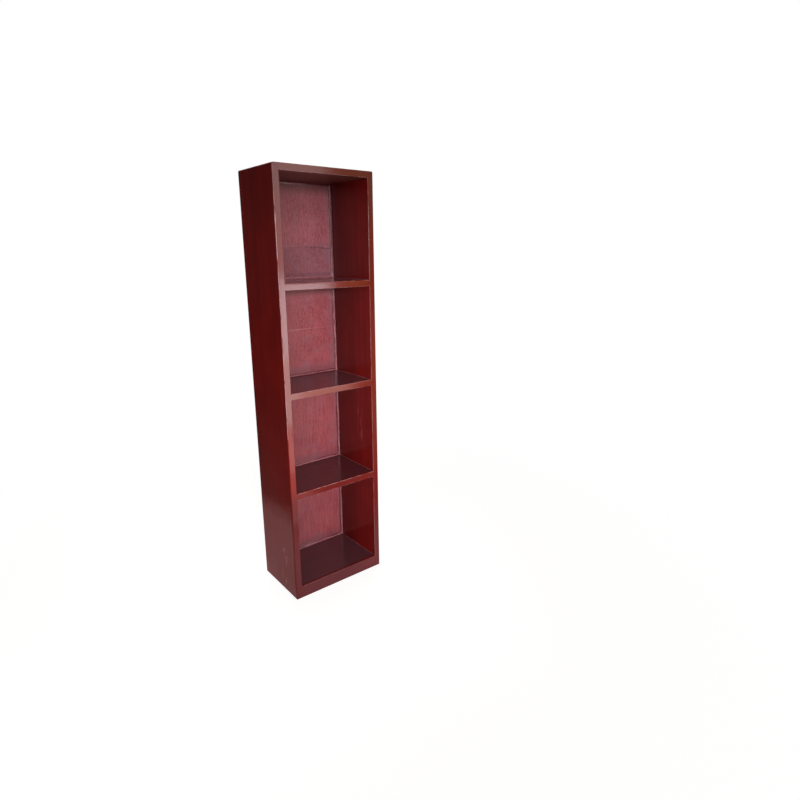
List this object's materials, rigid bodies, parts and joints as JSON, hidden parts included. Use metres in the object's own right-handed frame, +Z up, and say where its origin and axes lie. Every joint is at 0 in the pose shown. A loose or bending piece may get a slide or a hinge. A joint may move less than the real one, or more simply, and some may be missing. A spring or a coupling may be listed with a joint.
{
  "type": "mini bookcase",
  "caption": "Tall narrow bookcase with an open front, fixed shelves in equal bays, lipped edges and a thin nailed back; stands on the floor and holds small books.",
  "frame": {"origin": "on the floor, under the middle of the case", "axes": "+Z up, +X to the right seen from the front, open front faces -Y"},
  "size_m": [0.305, 0.203, 1.22],
  "materials": {
    "lacquered_board": "dark red semi-gloss lacquer over plywood",
    "lacquered_edge": "red semi-gloss lacquer over solid wood, worn thin on the arrises",
    "stained_back": "thin matt red coat over plywood, upright grain showing",
    "lacquered_filler": "filler smoothed by hand and lacquered over",
    "raw_wood": "bare sawn softwood",
    "bright_steel": "bright drawn steel"
  },
  "bodies": {
    "root": {"left_side": "lacquered_board", "right_side": "lacquered_board", "top_panel": "lacquered_board", "bottom_panel": "lacquered_board", "lower_shelf": "lacquered_board", "middle_shelf": "lacquered_board", "upper_shelf": "lacquered_board", "left_side_lipping": "lacquered_edge", "right_side_lipping": "lacquered_edge", "top_lipping": "lacquered_edge", "lower_shelf_lipping": "lacquered_edge", "middle_shelf_lipping": "lacquered_edge", "upper_shelf_lipping": "lacquered_edge", "base_fascia": "lacquered_edge", "back_panel": "stained_back", "bottom_bay_bead": "lacquered_filler", "lower_bay_bead": "lacquered_filler", "upper_bay_bead": "lacquered_filler", "top_bay_bead": "lacquered_filler", "left_side_plugs": "lacquered_filler", "right_side_plugs": "lacquered_filler", "front_base_rail": "raw_wood", "rear_base_rail": "raw_wood", "base_corner_blocks": "raw_wood", "left_side_screws": "bright_steel", "right_side_screws": "bright_steel", "back_panel_nails": "bright_steel"}
  },
  "joints": []
}
